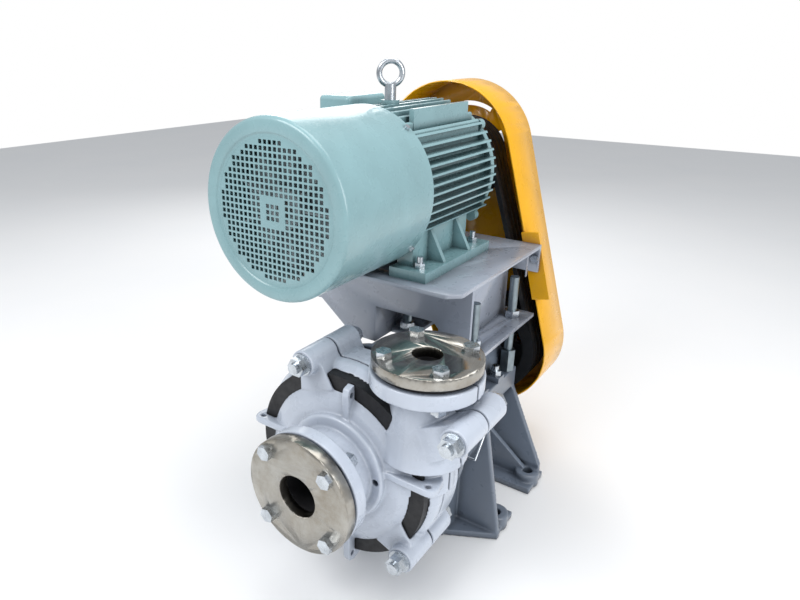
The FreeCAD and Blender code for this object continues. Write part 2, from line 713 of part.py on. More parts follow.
def make_clamps():
    washers, bolts = [], []
    d = clamp_bolt_d
    top = rail_top_z + clamp_washer_t
    for side in (-1, 1):
        for y in clamp_ys:
            x = side * clamp_x
            bolts.append(post(d / 2, rail_top_z - clamp_depth, top + 24, x, y))
            bolts.append(nut_z(d, top, top + 13, x, y))
            inner, outer = sorted((side * 48, side * (rail_out_x + 2)))
            washer = block(inner, outer, y - 15, y + 15, rail_top_z, top)
            washer = washer.cut(rod(housing_r + seat_gap, y - 20, y + 20))
            washers.append(washer.cut(post(d / 2 + seat_gap, rail_top_z - 1, top + 5, x, y)))
    export("clamp_washers", group(washers))
    export("clamp_bolts", group(bolts))


# ---------------------------------------------------------------- motor stand
def make_stand():
    under = plate_top_z - plate_t
    corner = 22.0
    top = slab_z([(plate_left_x, plate_front_y), (plate_right_x - corner, plate_front_y),
                  (plate_right_x, plate_front_y + corner), (plate_right_x, plate_rear_y),
                  (plate_left_x, plate_rear_y)], under, plate_top_z)
    top = top.makeFillet(12, [e for e in top.Edges if abs(e.Length - plate_t) < 0.01 and
                              e.BoundBox.YMax < plate_front_y + corner + 1 and e.BoundBox.XMin > 0])
    front_low = shelf_top_z - plate_t
    front = slab_y([(-247, 428), (stand_leg_left_x, front_low), (stand_left_x + 4, front_low),
                    (stand_left_x + 4, 442), (30, 442), (42, 430), (42, front_low),
                    (plate_right_x - 1, front_low), (plate_right_x - 1, under), (-330, under), (-330, 428)],
                   stand_front_y, stand_front_y + plate_t)
    pieces = [top, front]
    for x0, out_x0, out_x1, y0 in ((stand_panel_x - 4, stand_panel_x - 4, shelf_out_x, stand_front_y),
                                   (stand_left_x - 4, stand_leg_left_x, -50.0, -68.0)):
        pieces.append(block(x0, x0 + plate_t, stand_front_y, 176, shelf_top_z - plate_t, under))
        pieces.append(block(out_x0, out_x1, y0, 199, shelf_top_z - plate_t, shelf_top_z))
    pieces.append(block(-330, plate_right_x - 8, 150, 158, 470, under))
    for x0, x1 in ((49.0, plate_right_x), (-258.0, -208.0)):
        tab = block(x0, x1, plate_rear_y - plate_t, plate_rear_y, 468, plate_top_z)
        pieces.append(tab)
    stand = fuse(pieces)
    for x in (-stud_x, stud_x):
        for y in stud_ys:
            stand = stand.cut(post(stud_r + 1, shelf_top_z - 20, shelf_top_z + 5, x, y))
            stand = stand.cut(post(stud_r + 12, under - 60, under - 1, x, y)) if y > 100 else stand
    for side in (-1, 1):
        for y in motor_bolt_ys:
            stand = stand.cut(post(7, under - 1, plate_top_z + 1, motor_x + side * motor_bolt_x, y))
    for x in tab_bolt_xs:
        stand = stand.cut(rod(5.5, plate_rear_y - 20, plate_rear_y + 5, x, tab_bolt_z))
    export("motor_stand", stand)
    studs, sockets, nuts = [], [], []
    d = 2 * stud_r
    for x in (-stud_x, stud_x):
        for y in stud_ys:
            studs.append(post(stud_r, rail_top_z - stud_depth, stud_top_z, x, y))
            sockets.append(hex_z(socket_af, rail_top_z, rail_top_z + socket_h, x, y).cut(
                post(stud_r + seat_gap, rail_top_z - 1, rail_top_z + socket_h + 1, x, y)))
            nuts.append(nut_z(d, shelf_top_z, shelf_top_z + 16, x, y))
            nuts.append(nut_z(d, shelf_top_z - plate_t - 16, shelf_top_z - plate_t, x, y))
    export("jack_studs", group(studs))
    export("stud_sockets", group(sockets))
    export("jack_nuts", group(nuts))


# ---------------------------------------------------------------- motor
def make_motor_frame():
    y0, y1 = cowl_rear_y + 3, motor_drive_y
    barrel = rod(barrel_out_r, y0, y1, motor_x, motor_z)
    pieces = [barrel]
    tip = rod(fin_tip_r, y0, y1, motor_x, motor_z)
    count = 6
    for i in range(-count, count + 1):
        offset = i * fin_pitch
        pieces.append(block(motor_x + offset - fin_t / 2, motor_x + offset + fin_t / 2, y0, y1 - 6,
                            motor_z, motor_z + fin_tip_r + 5).common(tip))
        for side in (-1, 1):
            low, high = sorted((motor_x + side * 40, motor_x + side * (fin_tip_r + 5)))
            if offset > -fin_pitch * 4.6:
                pieces.append(block(low, high, y0, y1, motor_z + offset - fin_t / 2,
                                    motor_z + offset + fin_t / 2).common(tip))
    for side in (-1, 1):
        inner, outer = motor_x + side * foot_pad_in, motor_x + side * foot_pad_out
        pad0, pad1 = sorted((inner, outer))
        pieces.append(block(pad0, pad1, foot_pad_front_y, foot_pad_rear_y, plate_top_z, plate_top_z + foot_pad_t))
        riser = [(motor_x + side * 62, motor_z - 96), (motor_x + side * 112, motor_z - 60),
                 (motor_x + side * 112, plate_top_z + 4), (motor_x + side * 86, plate_top_z + 4)]
        pieces.append(slab_y(riser, y0 + 2, foot_pad_rear_y - 30))
        for y in (-84.0, 20.0):
            rib = [(motor_x + side * 108, motor_z - 62), (motor_x + side * 150, plate_top_z + foot_pad_t - 1),
                   (motor_x + side * 108, plate_top_z + foot_pad_t - 1)]
            pieces.append(slab_y(rib, y - 5, y + 5))
    pieces.append(block(motor_x + 78, motor_x + 88, -118, 96, motor_z + 84, motor_z + 146))
    pieces.append(block(motor_x - 126, motor_x - 78, -66, 60, motor_z + 66, motor_z + 96))
    pieces.append(post(18, motor_z + 100, motor_z + fin_tip_r + 6, motor_x, -62))
    frame = fuse(pieces)
    frame = frame.cut(block(motor_x - 180, motor_x - 92, -74, 68, motor_z + 96, motor_z + 200))
    frame = frame.cut(rod(motor_bore_r, y0 - 1, y1 + 1, motor_x, motor_z))
    for side in (-1, 1):
        for y in motor_bolt_ys:
            frame = frame.cut(post(7, plate_top_z - 1, plate_top_z + foot_pad_t + 40,
                                   motor_x + side * motor_bolt_x, y))
    export("motor_frame", frame)


def make_motor_shields():
    for name, y0, y1, hub in (("drive_end_shield", motor_drive_y, motor_drive_y + 16, 34.0),
                              ("fan_end_shield", cowl_rear_y - 13, cowl_rear_y + 3, -30.0)):
        shield = rod(fin_tip_r - 12, y0, y1, motor_x, motor_z)
        hub_y0, hub_y1 = sorted((y0 if hub < 0 else y1, (y0 if hub < 0 else y1) + hub))
        pieces = [shield, rod(66, hub_y0, hub_y1, motor_x, motor_z)]
        seat_r = cowl_r - cowl_wall - seat_gap if hub < 0 else fin_tip_r
        first = cowl_screw_deg if hub < 0 else 45
        for i in range(4):
            dx, dz = polar(seat_r - 12, first + 90 * i)
            pieces.append(rod(12, y0, y1, motor_x + dx, motor_z + dz))
        shield = fuse(pieces)
        pocket = (y0 - 1, y1 + hub - 6) if hub > 0 else (y0 + hub + 6, y1 + 1)
        shield = shield.cut(rod(45, pocket[0], pocket[1], motor_x, motor_z))
        shield = shield.cut(rod(motor_shaft_r + 3, y0 - 60, y1 + 60, motor_x, motor_z))
        export(name, shield)
    bolts = []
    for i in range(4):
        dx, dz = polar(fin_tip_r - 9, 45 + 90 * i)
        x, z = motor_x + dx, motor_z + dz
        bolts.append(hex_y(13, motor_drive_y + 16, motor_drive_y + 22, x, z))
    export("shield_bolts", group(bolts))
    stator = sleeve(72.6, motor_bore_r - seat_gap, -96, 74, motor_x, motor_z)
    export("stator", stator)


def make_cowl():
    r, w = cowl_r, cowl_wall
    y0, y1 = cowl_front_y, cowl_rear_y
    shell = turned([(y0, 0), (y0, grille_step_r - 6), (y0 - 0.1, grille_step_r), (y0, r - 9), (y0 + 3, r - 3),
                    (y0 + 9, r), (y1, r), (y1, r - w), (y0 + 10, r - w), (y0 + 4.5, r - w - 4),
                    (y0 + 2.6, r - 11), (y0 + 2.6, 0)], motor_x, motor_z)
    holes = []
    reach = int(grille_r // grille_pitch)
    for i in range(-reach, reach + 1):
        for k in range(-reach, reach + 1):
            cx, cz = i * grille_pitch, k * grille_pitch
            if math.hypot(cx, cz) + grille_hole * 0.7 > grille_r or (i == 0 and k == 0):
                continue
            x0, z0 = motor_x + cx - grille_hole / 2, motor_z + cz - grille_hole / 2
            holes.append(block(x0, x0 + grille_hole, y0 - 2, y0 + 6, z0, z0 + grille_hole))
    export("fan_cowl", shell.cut(group(holes)))


def make_motor_rotor():
    core = rod(72, -92, 70, motor_x, motor_z)
    y_fan = cowl_front_y + 34
    shaft = turned([(y_fan - 4, 0), (y_fan - 4, 14), (cowl_rear_y - 40, 14), (cowl_rear_y - 40, 19),
                    (-92, 19), (-92, 30), (70, 30), (70, 22), (motor_drive_y + 56, 22),
                    (motor_drive_y + 56, motor_shaft_r), (motor_shaft_end_y, motor_shaft_r),
                    (motor_shaft_end_y, 0)], motor_x, motor_z)
    export("motor_rotor", fuse([core, shaft]))
    hub = sleeve(14 + spin_gap, 34, y_fan, y_fan + 34, motor_x, motor_z)
    disc = sleeve(33, 110, y_fan + 28, y_fan + 32, motor_x, motor_z)
    blades = []
    for i in range(9):
        blade = block(motor_x + 30, motor_x + 112, y_fan + 2, y_fan + 30, motor_z - 1.5, motor_z + 1.5)
        blade.rotate(V(motor_x, 0, motor_z), AXIS_Y, 40 * i)
        blades.append(blade)
    export("cooling_fan", fuse([hub, disc] + blades))
    balls = []
    for y0, seat, end in ((80.0, 22.0, motor_drive_y + 12), (-132.0, 19.0, cowl_rear_y)):
        y0 = end - 6 if y0 > 0 else end - 20
        balls.append(sleeve(seat + spin_gap, 45 - spin_gap, y0, y0 + 22, motor_x, motor_z))
    export("motor_bearings", group(balls))


def make_motor_fittings():
    box = block(motor_x - 172, motor_x - 92, -70, 64, motor_z + 96 + seat_gap, motor_z + 158)
    box = box.makeFillet(9, [e for e in box.Edges if e.BoundBox.ZMax > motor_z + 150])
    export("terminal_box", box)
    ring = Part.makeTorus(22, 5.5, V(motor_x, -62, motor_z + 204), V(0.6, -0.8, 0))
    stem = post(11, motor_z + fin_tip_r + 6 + seat_gap, motor_z + 184, motor_x, -62)
    export("eyebolt", fuse([ring, stem]))
    bolts = []
    for side in (-1, 1):
        for y in motor_bolt_ys:
            x = motor_x + side * motor_bolt_x
            top = plate_top_z + foot_pad_t
            bolts.append(post(6, plate_top_z - plate_t - 14, top + 22, x, y))
            bolts.append(nut_z(12, top, top + 10, x, y))
            bolts.append(nut_z(12, plate_top_z - plate_t - 10, plate_top_z - plate_t, x, y))
    export("motor_foot_bolts", group(bolts))
    screws = []
    for i in range(4):
        dx, dz = polar(cowl_r, cowl_screw_deg + 90 * i)
        base = V(motor_x + dx, cowl_rear_y - 12, motor_z + dz)
        out = V(dx, 0, dz)
        screws.append(Part.makeCylinder(5, 5, base, out))
    export("cowl_screws", group(screws))


# ---------------------------------------------------------------- belt drive
def pulley(radius, x, z, bore):
    """Grooved rim, thin web and hub."""
    y0, y1 = belt_centre_y - pulley_w / 2, belt_centre_y + pulley_w / 2
    rim_top = radius + 4.0
    profile = [(y0, radius - 24), (y0, rim_top)]
    for i in range(belt_count):
        c = belt_centre_y + (i - (belt_count - 1) / 2) * belt_pitch
        half_top, half_low = belt_top_w / 2 + 0.6, belt_top_w / 2 - 3.4
        profile += [(c - half_top, rim_top), (c - half_low, rim_top - 15),
                    (c + half_low, rim_top - 15), (c + half_top, rim_top)]
    profile += [(y1, rim_top), (y1, radius - 24)]
    rim = turned(profile, x, z)
    web = rod(radius - 23, belt_centre_y - 8, belt_centre_y + 8, x, z)
    hub = rod(48, belt_centre_y - 34, belt_centre_y + 34, x, z)
    wheel = fuse([rim, web, hub])
    if radius > 105:
        for i in range(5):
            dx, dz = polar((radius - 24 + 48) / 2, 72 * i + 18)
            wheel = wheel.cut(rod(14, belt_centre_y - 20, belt_centre_y + 20, x + dx, z + dz))
    return wheel.cut(rod(bore + 12 + seat_gap, y0 - 1, y1 + 1, x, z))


def belt(offset):
    """One V-belt as a closed loop round both pulleys."""
    dx, dz = motor_x, motor_z - shaft_z
    distance = math.hypot(dx, dz)
    lean = math.atan2(dz, dx)
    spread = math.acos((pump_pulley_r - motor_pulley_r) / distance)
    y = belt_centre_y + offset

    def spot(cx, cz, r, a):
        return V(cx + r * math.cos(a), y, cz + r * math.sin(a))

    right, left = lean - spread, lean + spread

    def loop(grow):
        rp, rm = pump_pulley_r + grow, motor_pulley_r + grow
        p1, p2 = spot(0, shaft_z, rp, right), spot(motor_x, motor_z, rm, right)
        p3, p4 = spot(motor_x, motor_z, rm, left), spot(0, shaft_z, rp, left)
        top = spot(motor_x, motor_z, rm, lean)
        low = spot(0, shaft_z, rp, lean + math.pi)
        edges = [Part.LineSegment(p1, p2), Part.Arc(p2, top, p3), Part.LineSegment(p3, p4),
                 Part.Arc(p4, low, p1)]
        return Part.Wire([e.toShape() for e in edges])

    path = loop(0)
    # the section sits across the straight run that starts the loop
    start, end = path.Vertexes[0].Point, path.Vertexes[1].Point
    start = spot(0, shaft_z, pump_pulley_r, right)
    outward = V(math.cos(right), 0, math.sin(right))
    across = AXIS_Y
    high, low_h = 3.0, 3.0 - belt_h
    section = [start + outward * high + across * (belt_top_w / 2), start + outward * high - across * (belt_top_w / 2),
               start + outward * low_h - across * (belt_top_w / 2 - 3), start + outward * low_h + across * (belt_top_w / 2 - 3)]
    profile = Part.makePolygon(section + [section[0]])
    sweep = path.makePipeShell([profile], True, False)
    return sweep


def make_belts():
    belts = [belt((i - (belt_count - 1) / 2) * belt_pitch) for i in range(belt_count)]
    export("v_belts", group(belts))


def make_pulleys():
    export("pump_pulley", pulley(pump_pulley_r, 0, shaft_z, shaft_tail_r))
    export("motor_pulley", pulley(motor_pulley_r, motor_x, motor_z, motor_shaft_r))
    y0, y1 = belt_centre_y - 34, belt_centre_y + 34
    export("pump_pulley_bush", sleeve(shaft_tail_r + seat_gap, shaft_tail_r + 12, y0, y1))
    export("motor_pulley_bush", sleeve(motor_shaft_r + seat_gap, motor_shaft_r + 12, y0, y1, motor_x, motor_z))


def teardrop(grow, y):
    """Guard outline: small arc above, small arc below, joined by tangents."""
    rt, rb = guard_top_r + grow, guard_bottom_r + grow
    dx, dz = guard_top_x, guard_top_z - shaft_z
    distance = math.hypot(dx, dz)
    lean = math.atan2(dz, dx)
    spread = math.acos((rb - rt) / distance)

    def spot(cx, cz, r, a):
        return V(cx + r * math.cos(a), y, cz + r * math.sin(a))

    right, left = lean - spread, lean + spread
    b1, t1 = spot(0, shaft_z, rb, right), spot(guard_top_x, guard_top_z, rt, right)
    t2, b2 = spot(guard_top_x, guard_top_z, rt, left), spot(0, shaft_z, rb, left)
    edges = [Part.LineSegment(b1, t1), Part.Arc(t1, spot(guard_top_x, guard_top_z, rt, lean), t2),
             Part.LineSegment(t2, b2), Part.Arc(b2, spot(0, shaft_z, rb, lean + math.pi), b1)]
    return Part.Face(Part.Wire([e.toShape() for e in edges]))


def make_guard():
    depth = guard_rear_y - guard_front_y
    outer = teardrop(0, guard_front_y).extrude(V(0, depth, 0))
    inner = teardrop(-guard_t, guard_front_y - 1).extrude(V(0, depth + 1 - guard_t, 0))
    guard = outer.cut(inner)
    slots = []
    for cx, cz, radius, a0, a1 in ((guard_top_x, guard_top_z, 108, 60, 100), (guard_top_x, guard_top_z, 92, 0, 30),
                                   (guard_top_x, guard_top_z, 76, 20, 50), (0, shaft_z, 76, 0, 36)):
        ring = sleeve(radius - 5, radius + 5, guard_rear_y - 10, guard_rear_y + 5, cx, cz)
        wedge = [(cx, cz)] + [(cx + 200 * math.cos(math.radians(a)), cz + 200 * math.sin(math.radians(a)))
                              for a in (a0, (a0 + a1) / 2, a1)]
        slots.append(ring.common(slab_y(wedge, guard_rear_y - 12, guard_rear_y + 6)))
    export("belt_guard", guard.cut(group(slots)))


def make_guard_brackets():
    """Flat ears on the guard's open edge that bolt to the tabs of the stand."""
    y0, y1 = plate_rear_y + seat_gap, guard_front_y - seat_gap
    right = [(60, 551), (99, 557), (141, 407), (102, 398)]
    left = [(-216, 551), (-258, 551), (-276, 470), (-216, 470)]
    brackets, bolts = [], []
    for outline, hole_x in ((right, tab_bolt_xs[0]), (left, tab_bolt_xs[1])):
        ear = slab_y(outline, y0, y1)
        brackets.append(ear.cut(rod(5.5, y0 - 1, y1 + 1, hole_x, tab_bolt_z)))
        bolts.append(fuse([rod(5, plate_rear_y - 12, guard_front_y + 12, hole_x, tab_bolt_z),
                           hex_y(16, plate_rear_y - plate_t - 7, plate_rear_y - plate_t, hole_x, tab_bolt_z)]))
        bolts.append(nut_y(10, y1, y1 + 8, hole_x, tab_bolt_z))
    export("guard_brackets", group(brackets))
    export("guard_bolts", group(bolts))


make_casing()
make_liners()
make_flange_discs()
make_flange_bolts()
make_casing_bolts()
impeller_back = make_impeller()
front_seat, rear_seat = make_shaft_line(impeller_back)
make_stuffing_box()
make_bearing_housing(front_seat, rear_seat)
make_base()
make_gland_guards()
make_clamps()
make_stand()
make_motor_frame()
make_motor_shields()
make_cowl()
make_motor_rotor()
make_motor_fittings()
make_pulleys()
make_belts()
make_guard()
make_guard_brackets()
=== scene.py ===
import math

import bmesh
import bpy
from mathutils import Matrix, Vector


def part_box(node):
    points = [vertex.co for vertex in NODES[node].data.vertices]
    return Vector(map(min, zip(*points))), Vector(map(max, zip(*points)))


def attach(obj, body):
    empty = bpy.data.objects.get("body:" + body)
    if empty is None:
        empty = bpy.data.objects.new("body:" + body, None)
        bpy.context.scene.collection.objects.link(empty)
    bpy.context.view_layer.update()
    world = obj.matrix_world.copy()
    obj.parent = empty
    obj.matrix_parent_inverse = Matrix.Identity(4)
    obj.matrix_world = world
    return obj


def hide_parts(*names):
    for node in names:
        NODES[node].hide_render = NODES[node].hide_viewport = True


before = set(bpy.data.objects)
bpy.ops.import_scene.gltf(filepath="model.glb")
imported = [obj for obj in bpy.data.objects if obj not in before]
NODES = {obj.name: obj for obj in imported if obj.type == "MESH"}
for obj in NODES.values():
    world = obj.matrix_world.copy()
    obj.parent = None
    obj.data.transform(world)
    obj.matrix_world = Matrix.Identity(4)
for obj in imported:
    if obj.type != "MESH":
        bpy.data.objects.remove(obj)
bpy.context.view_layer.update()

STAND, CARRIAGE = "standing_part", "motor_carriage"
CASING_VOXEL = 0.0018      # metres
BASE_VOXEL = 0.0019
MELT_ROUNDS = 5            # smoothing passes that turn creases into cast fillets
GRILLE_RIM_R = 0.1235
GRILLE_HOLES_R = 0.1165
GRILLE_PITCH = 0.01025
GRILLE_HALF_HOLE = 0.0037
GRILLE_HOLE_CORNER = 0.0010
GRILLE_REACH = 11          # rows of holes on each side of the middle one


# ------------------------------------------------------------------ node materials
def linear(rgb):
    out = []
    for c in rgb:
        c = c / 255.0
        out.append(c / 12.92 if c <= 0.04045 else ((c + 0.055) / 1.055) ** 2.4)
    return (out[0], out[1], out[2], 1.0)


class Nodes:
    """Small helper that builds one material's node tree."""

    def __init__(self, name):
        self.material = bpy.data.materials.new(name)
        self.material.use_nodes = True
        self.tree = self.material.node_tree
        self.shader = self.tree.nodes["Principled BSDF"]
        self.coords = self.tree.nodes.new("ShaderNodeTexCoord").outputs["Object"]

    def add(self, kind, **settings):
        node = self.tree.nodes.new(kind)
        for key, value in settings.items():
            if key in node.inputs:
                node.inputs[key].default_value = value
            else:
                setattr(node, key, value)
        return node

    def link(self, a, b):
        self.tree.links.new(a, b)

    def set(self, **values):
        for key, value in values.items():
            self.shader.inputs[key.replace("_", " ")].default_value = value

    def noise(self, scale, detail=3.0, rough=0.55, vector=None):
        n = self.add("ShaderNodeTexNoise", Scale=scale, Detail=detail, Roughness=rough)
        self.link(vector or self.coords, n.inputs["Vector"])
        return n.outputs["Fac"]

    def remap(self, value, low, high, to_low, to_high):
        n = self.add("ShaderNodeMapRange")
        for key, number in zip(("From Min", "From Max", "To Min", "To Max"), (low, high, to_low, to_high)):
            n.inputs[key].default_value = number
        self.link(value, n.inputs["Value"])
        return n.outputs["Result"]

    def mix(self, factor, a, b, blend="MIX"):
        n = self.add("ShaderNodeMix", data_type="RGBA", blend_type=blend)
        for socket, value in ((n.inputs[0], factor), (n.inputs[6], a), (n.inputs[7], b)):
            if isinstance(value, (tuple, float)):
                socket.default_value = value
            else:
                self.link(value, socket)
        return n.outputs[2]

    def crevice(self, distance):
        n = self.add("ShaderNodeAmbientOcclusion", Distance=distance)
        n.samples = 4
        return n.outputs["AO"]

    def colour(self, output):
        self.link(output, self.shader.inputs["Base Color"])

    def rough(self, output):
        self.link(output, self.shader.inputs["Roughness"])

    def bump(self, height, distance, strength=1.0, under=None):
        n = self.add("ShaderNodeBump", Strength=strength, Distance=distance)
        self.link(height, n.inputs["Height"])
        if under is not None:
            self.link(under, n.inputs["Normal"])
        self.link(n.outputs["Normal"], self.shader.inputs["Normal"])
        return n.outputs["Normal"]


def paint(name, rgb, shade, rough=0.28, peel=0.10, coat=0.35, painted_shade_reach=0.02):
    """Sprayed gloss paint over a casting or sheet: faint tone drift, orange peel and painted shade in crevices.
    """
    m = Nodes(name)
    drift = m.remap(m.noise(9.0, 4.0), 0.35, 0.65, 0.0, 1.0)
    base = m.mix(drift, linear(rgb), linear([c * 0.94 for c in rgb]))
    # painted shade: the colour darkens toward the shade colour wherever ambient occlusion finds crevices and
    # recesses
    dark = m.remap(m.crevice(painted_shade_reach), 0.25, 0.95, 1.0, 0.0)
    m.colour(m.mix(dark, base, linear(shade)))
    m.rough(m.remap(m.noise(30.0, 5.0), 0.3, 0.7, rough - 0.05, rough + 0.09))
    wave = m.bump(m.noise(60.0, 2.0), 0.0012, peel)
    m.bump(m.noise(420.0, 2.0), 0.0003, peel, wave)
    m.set(Coat_Weight=coat, Coat_Roughness=0.12)
    return m.material


def bright_metal(name, rgb, rough=0.25, drift_scale=60.0, grain=0.05):
    """Zinc plated or ground steel: slight colour drift and fine irregular gloss."""
    m = Nodes(name)
    drift = m.remap(m.noise(drift_scale, 3.0), 0.3, 0.7, 0.0, 1.0)
    m.colour(m.mix(drift, linear(rgb), linear([c * 0.84 for c in rgb])))
    m.rough(m.remap(m.noise(drift_scale * 2.5, 4.0), 0.3, 0.7, rough - 0.07, rough + 0.12))
    m.bump(m.noise(900.0, 2.0), 0.0002, grain)
    m.set(Metallic=1.0)
    return m.material


def turned_metal(name, rgb, centre, axis, rough=0.27):
    """Face turned on a lathe: rings round an axis through centre, with stains."""
    m = Nodes(name)
    shift = m.add("ShaderNodeVectorMath", operation="SUBTRACT")
    m.link(m.coords, shift.inputs[0])
    shift.inputs[1].default_value = centre
    flat = m.add("ShaderNodeVectorMath", operation="MULTIPLY")
    m.link(shift.outputs[0], flat.inputs[0])
    flat.inputs[1].default_value = (0.0 if axis == "X" else 1.0, 0.0 if axis == "Y" else 1.0,
                                    0.0 if axis == "Z" else 1.0)
    length = m.add("ShaderNodeVectorMath", operation="LENGTH")
    m.link(flat.outputs[0], length.inputs[0])
    join = m.add("ShaderNodeCombineXYZ")
    m.link(length.outputs["Value"], join.inputs[0])
    rings = m.noise(1400.0, 2.0, vector=join.outputs[0])
    stain = m.remap(m.noise(26.0, 6.0, 0.65), 0.40, 0.72, 0.0, 1.0)
    cloud = m.remap(m.noise(7.0, 3.0), 0.3, 0.7, 0.0, 1.0)
    base = m.mix(cloud, linear(rgb), linear([c * 0.86 for c in rgb]))
    m.colour(m.mix(stain, base, linear([rgb[0] * 0.80, rgb[1] * 0.775, rgb[2] * 0.74])))
    spread = m.remap(rings, 0.3, 0.7, rough - 0.06, rough + 0.10)
    m.rough(spread)
    m.bump(rings, 0.0003, 0.16)
    m.set(Metallic=1.0, Anisotropic=0.5)
    return m.material


def rubber(name, rgb, rough=0.55):
    m = Nodes(name)
    drift = m.remap(m.noise(40.0, 4.0), 0.3, 0.7, 0.0, 1.0)
    m.colour(m.mix(drift, linear(rgb), linear([c * 1.5 + 4 for c in rgb])))
    m.rough(m.remap(m.noise(120.0, 3.0), 0.3, 0.7, rough - 0.08, rough + 0.12))
    m.bump(m.noise(700.0, 3.0), 0.0003, 0.25)
    return m.material


def raw_cast(name, rgb, rough=0.5):
    m = Nodes(name)
    drift = m.remap(m.noise(22.0, 5.0), 0.3, 0.7, 0.0, 1.0)
    m.colour(m.mix(drift, linear(rgb), linear([c * 0.72 for c in rgb])))
    m.rough(m.remap(m.noise(90.0, 4.0), 0.3, 0.7, rough - 0.10, rough + 0.12))
    m.bump(m.noise(260.0, 4.0), 0.0008, 0.30)
    m.set(Metallic=0.6)
    return m.material


CASING = paint("casing_paint_look", (196, 204, 217), (96, 104, 118), rough=0.27, peel=0.14)
BASE = paint("base_paint_look", (112, 122, 136), (44, 50, 58), rough=0.30, peel=0.14)
STAND_PAINT = paint("stand_paint_look", (168, 175, 188), (88, 94, 104), rough=0.28, peel=0.06)
TEAL = paint("motor_paint_look", (140, 176, 181), (58, 82, 86), rough=0.26, peel=0.05)
YELLOW = paint("guard_paint_look", (248, 182, 10), (150, 84, 4), rough=0.28, peel=0.04, painted_shade_reach=0.03)
SUCTION_STEEL = turned_metal("suction_disc_look", (186, 183, 176), (0.0, -0.5, 0.254), "Y")
DISCHARGE_STEEL = turned_metal("discharge_disc_look", (186, 183, 176), (0.1285, -0.326, 0.47), "Z", rough=0.20)
ZINC = bright_metal("zinc_look", (214, 220, 226), rough=0.26)
STEEL = bright_metal("machined_steel_look", (176, 176, 174), rough=0.24)
DULL_ZINC = bright_metal("stud_look", (150, 162, 168), rough=0.34)
RUBBER = rubber("liner_rubber_look", (20, 20, 22))
BELT = rubber("belt_look", (24, 25, 28), rough=0.5)
IRON = raw_cast("pulley_iron_look", (40, 42, 46))
ALLOY = raw_cast("alloy_iron_look", (92, 104, 122), rough=0.42)
FAN = paint("fan_look", (176, 186, 190), (90, 98, 102), rough=0.45, peel=0.05, coat=0.0)
COPPER = raw_cast("stator_look", (96, 66, 48))
BRASS = bright_metal("brass_look", (196, 158, 92), rough=0.32)
PACKING = rubber("packing_look", (172, 164, 142), rough=0.7)
CORE = bright_metal("rotor_core_look", (120, 116, 112), rough=0.38)

NODE_LOOKS = {
    CASING: ["cover_plate", "frame_plate"],
    BASE: ["base", "bearing_housing", "front_end_cover", "rear_end_cover", "clamp_washers", "gland_guards"],
    STAND_PAINT: ["motor_stand"],
    TEAL: ["motor_frame", "drive_end_shield", "fan_end_shield", "fan_cowl", "terminal_box"],
    YELLOW: ["belt_guard", "guard_brackets"],
    SUCTION_STEEL: ["suction_disc"],
    DISCHARGE_STEEL: ["discharge_disc"],
    ZINC: ["suction_bolts", "discharge_bolts", "casing_bolts", "gland_bolts", "end_cover_screws", "clamp_bolts",
           "frame_studs", "guard_handles", "jack_nuts", "eyebolt", "motor_foot_bolts", "shield_bolts",
           "cowl_screws", "guard_bolts"],
    DULL_ZINC: ["jack_studs", "stud_sockets"],
    STEEL: ["bearing_outer_races", "bearing_inner_races", "bearing_rollers", "pump_shaft", "shaft_sleeve",
            "motor_bearings"],
    RUBBER: ["volute_liner", "throatbush", "frame_liner_insert", "suction_gasket", "discharge_gasket"],
    BELT: ["v_belts"],
    IRON: ["pump_pulley", "pump_pulley_bush", "motor_pulley", "motor_pulley_bush", "shaft_slinger"],
    ALLOY: ["impeller", "stuffing_box", "gland"],
    FAN: ["cooling_fan"],
    COPPER: ["stator"],
    BRASS: ["lantern_ring"],
    PACKING: ["gland_packing"],
    CORE: ["motor_rotor"],
}
for look, names in NODE_LOOKS.items():
    for node_name in names:
        mesh = NODES[node_name].data
        mesh.materials.clear()
        mesh.materials.append(look)


# ------------------------------------------------------------------ mesh helpers
def new_piece(name, mesh, look, body, replaced=()):
    obj = bpy.data.objects.new(name, mesh)
    bpy.context.scene.collection.objects.link(obj)
    mesh.materials.clear()
    mesh.materials.append(look)
    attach(obj, body)
    if replaced:
        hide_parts(*replaced)
    return obj


def applied(obj):
    """The object's mesh with its modifiers applied, as a new mesh."""
    bpy.context.view_layer.update()
    graph = bpy.context.evaluated_depsgraph_get()
    return bpy.data.meshes.new_from_object(obj.evaluated_get(graph))


def welded_copy(node, flatten=0.02):
    """Copy of a CAD node's mesh, welded, with coplanar triangles joined."""
    bm = bmesh.new()
    bm.from_mesh(NODES[node].data)
    bmesh.ops.remove_doubles(bm, verts=bm.verts, dist=2e-6)
    if flatten:
        bmesh.ops.dissolve_limit(bm, angle_limit=flatten, verts=bm.verts, edges=bm.edges)
    mesh = bpy.data.meshes.new(node + "_copy")
    bm.to_mesh(mesh)
    bm.free()
    return mesh


def temporary(mesh):
    obj = bpy.data.objects.new("temporary", mesh)
    bpy.context.scene.collection.objects.link(obj)
    return obj


def cast_copy(node, voxel, rounds, name, look, body):
    """Casting made from a CAD node: its creases are melted into cast fillets."""
    obj = temporary(welded_copy(node, 0))
    remesh = obj.modifiers.new("remesh", "REMESH")
    remesh.mode = "VOXEL"
    remesh.voxel_size = voxel
    remesh.use_smooth_shade = True
    smooth = obj.modifiers.new("smooth", "SMOOTH")
    smooth.factor = 0.5
    smooth.iterations = rounds
    mesh = applied(obj)
    bpy.data.objects.remove(obj)
    for polygon in mesh.polygons:
        polygon.use_smooth = True
    return new_piece(name, mesh, look, body, (node,))


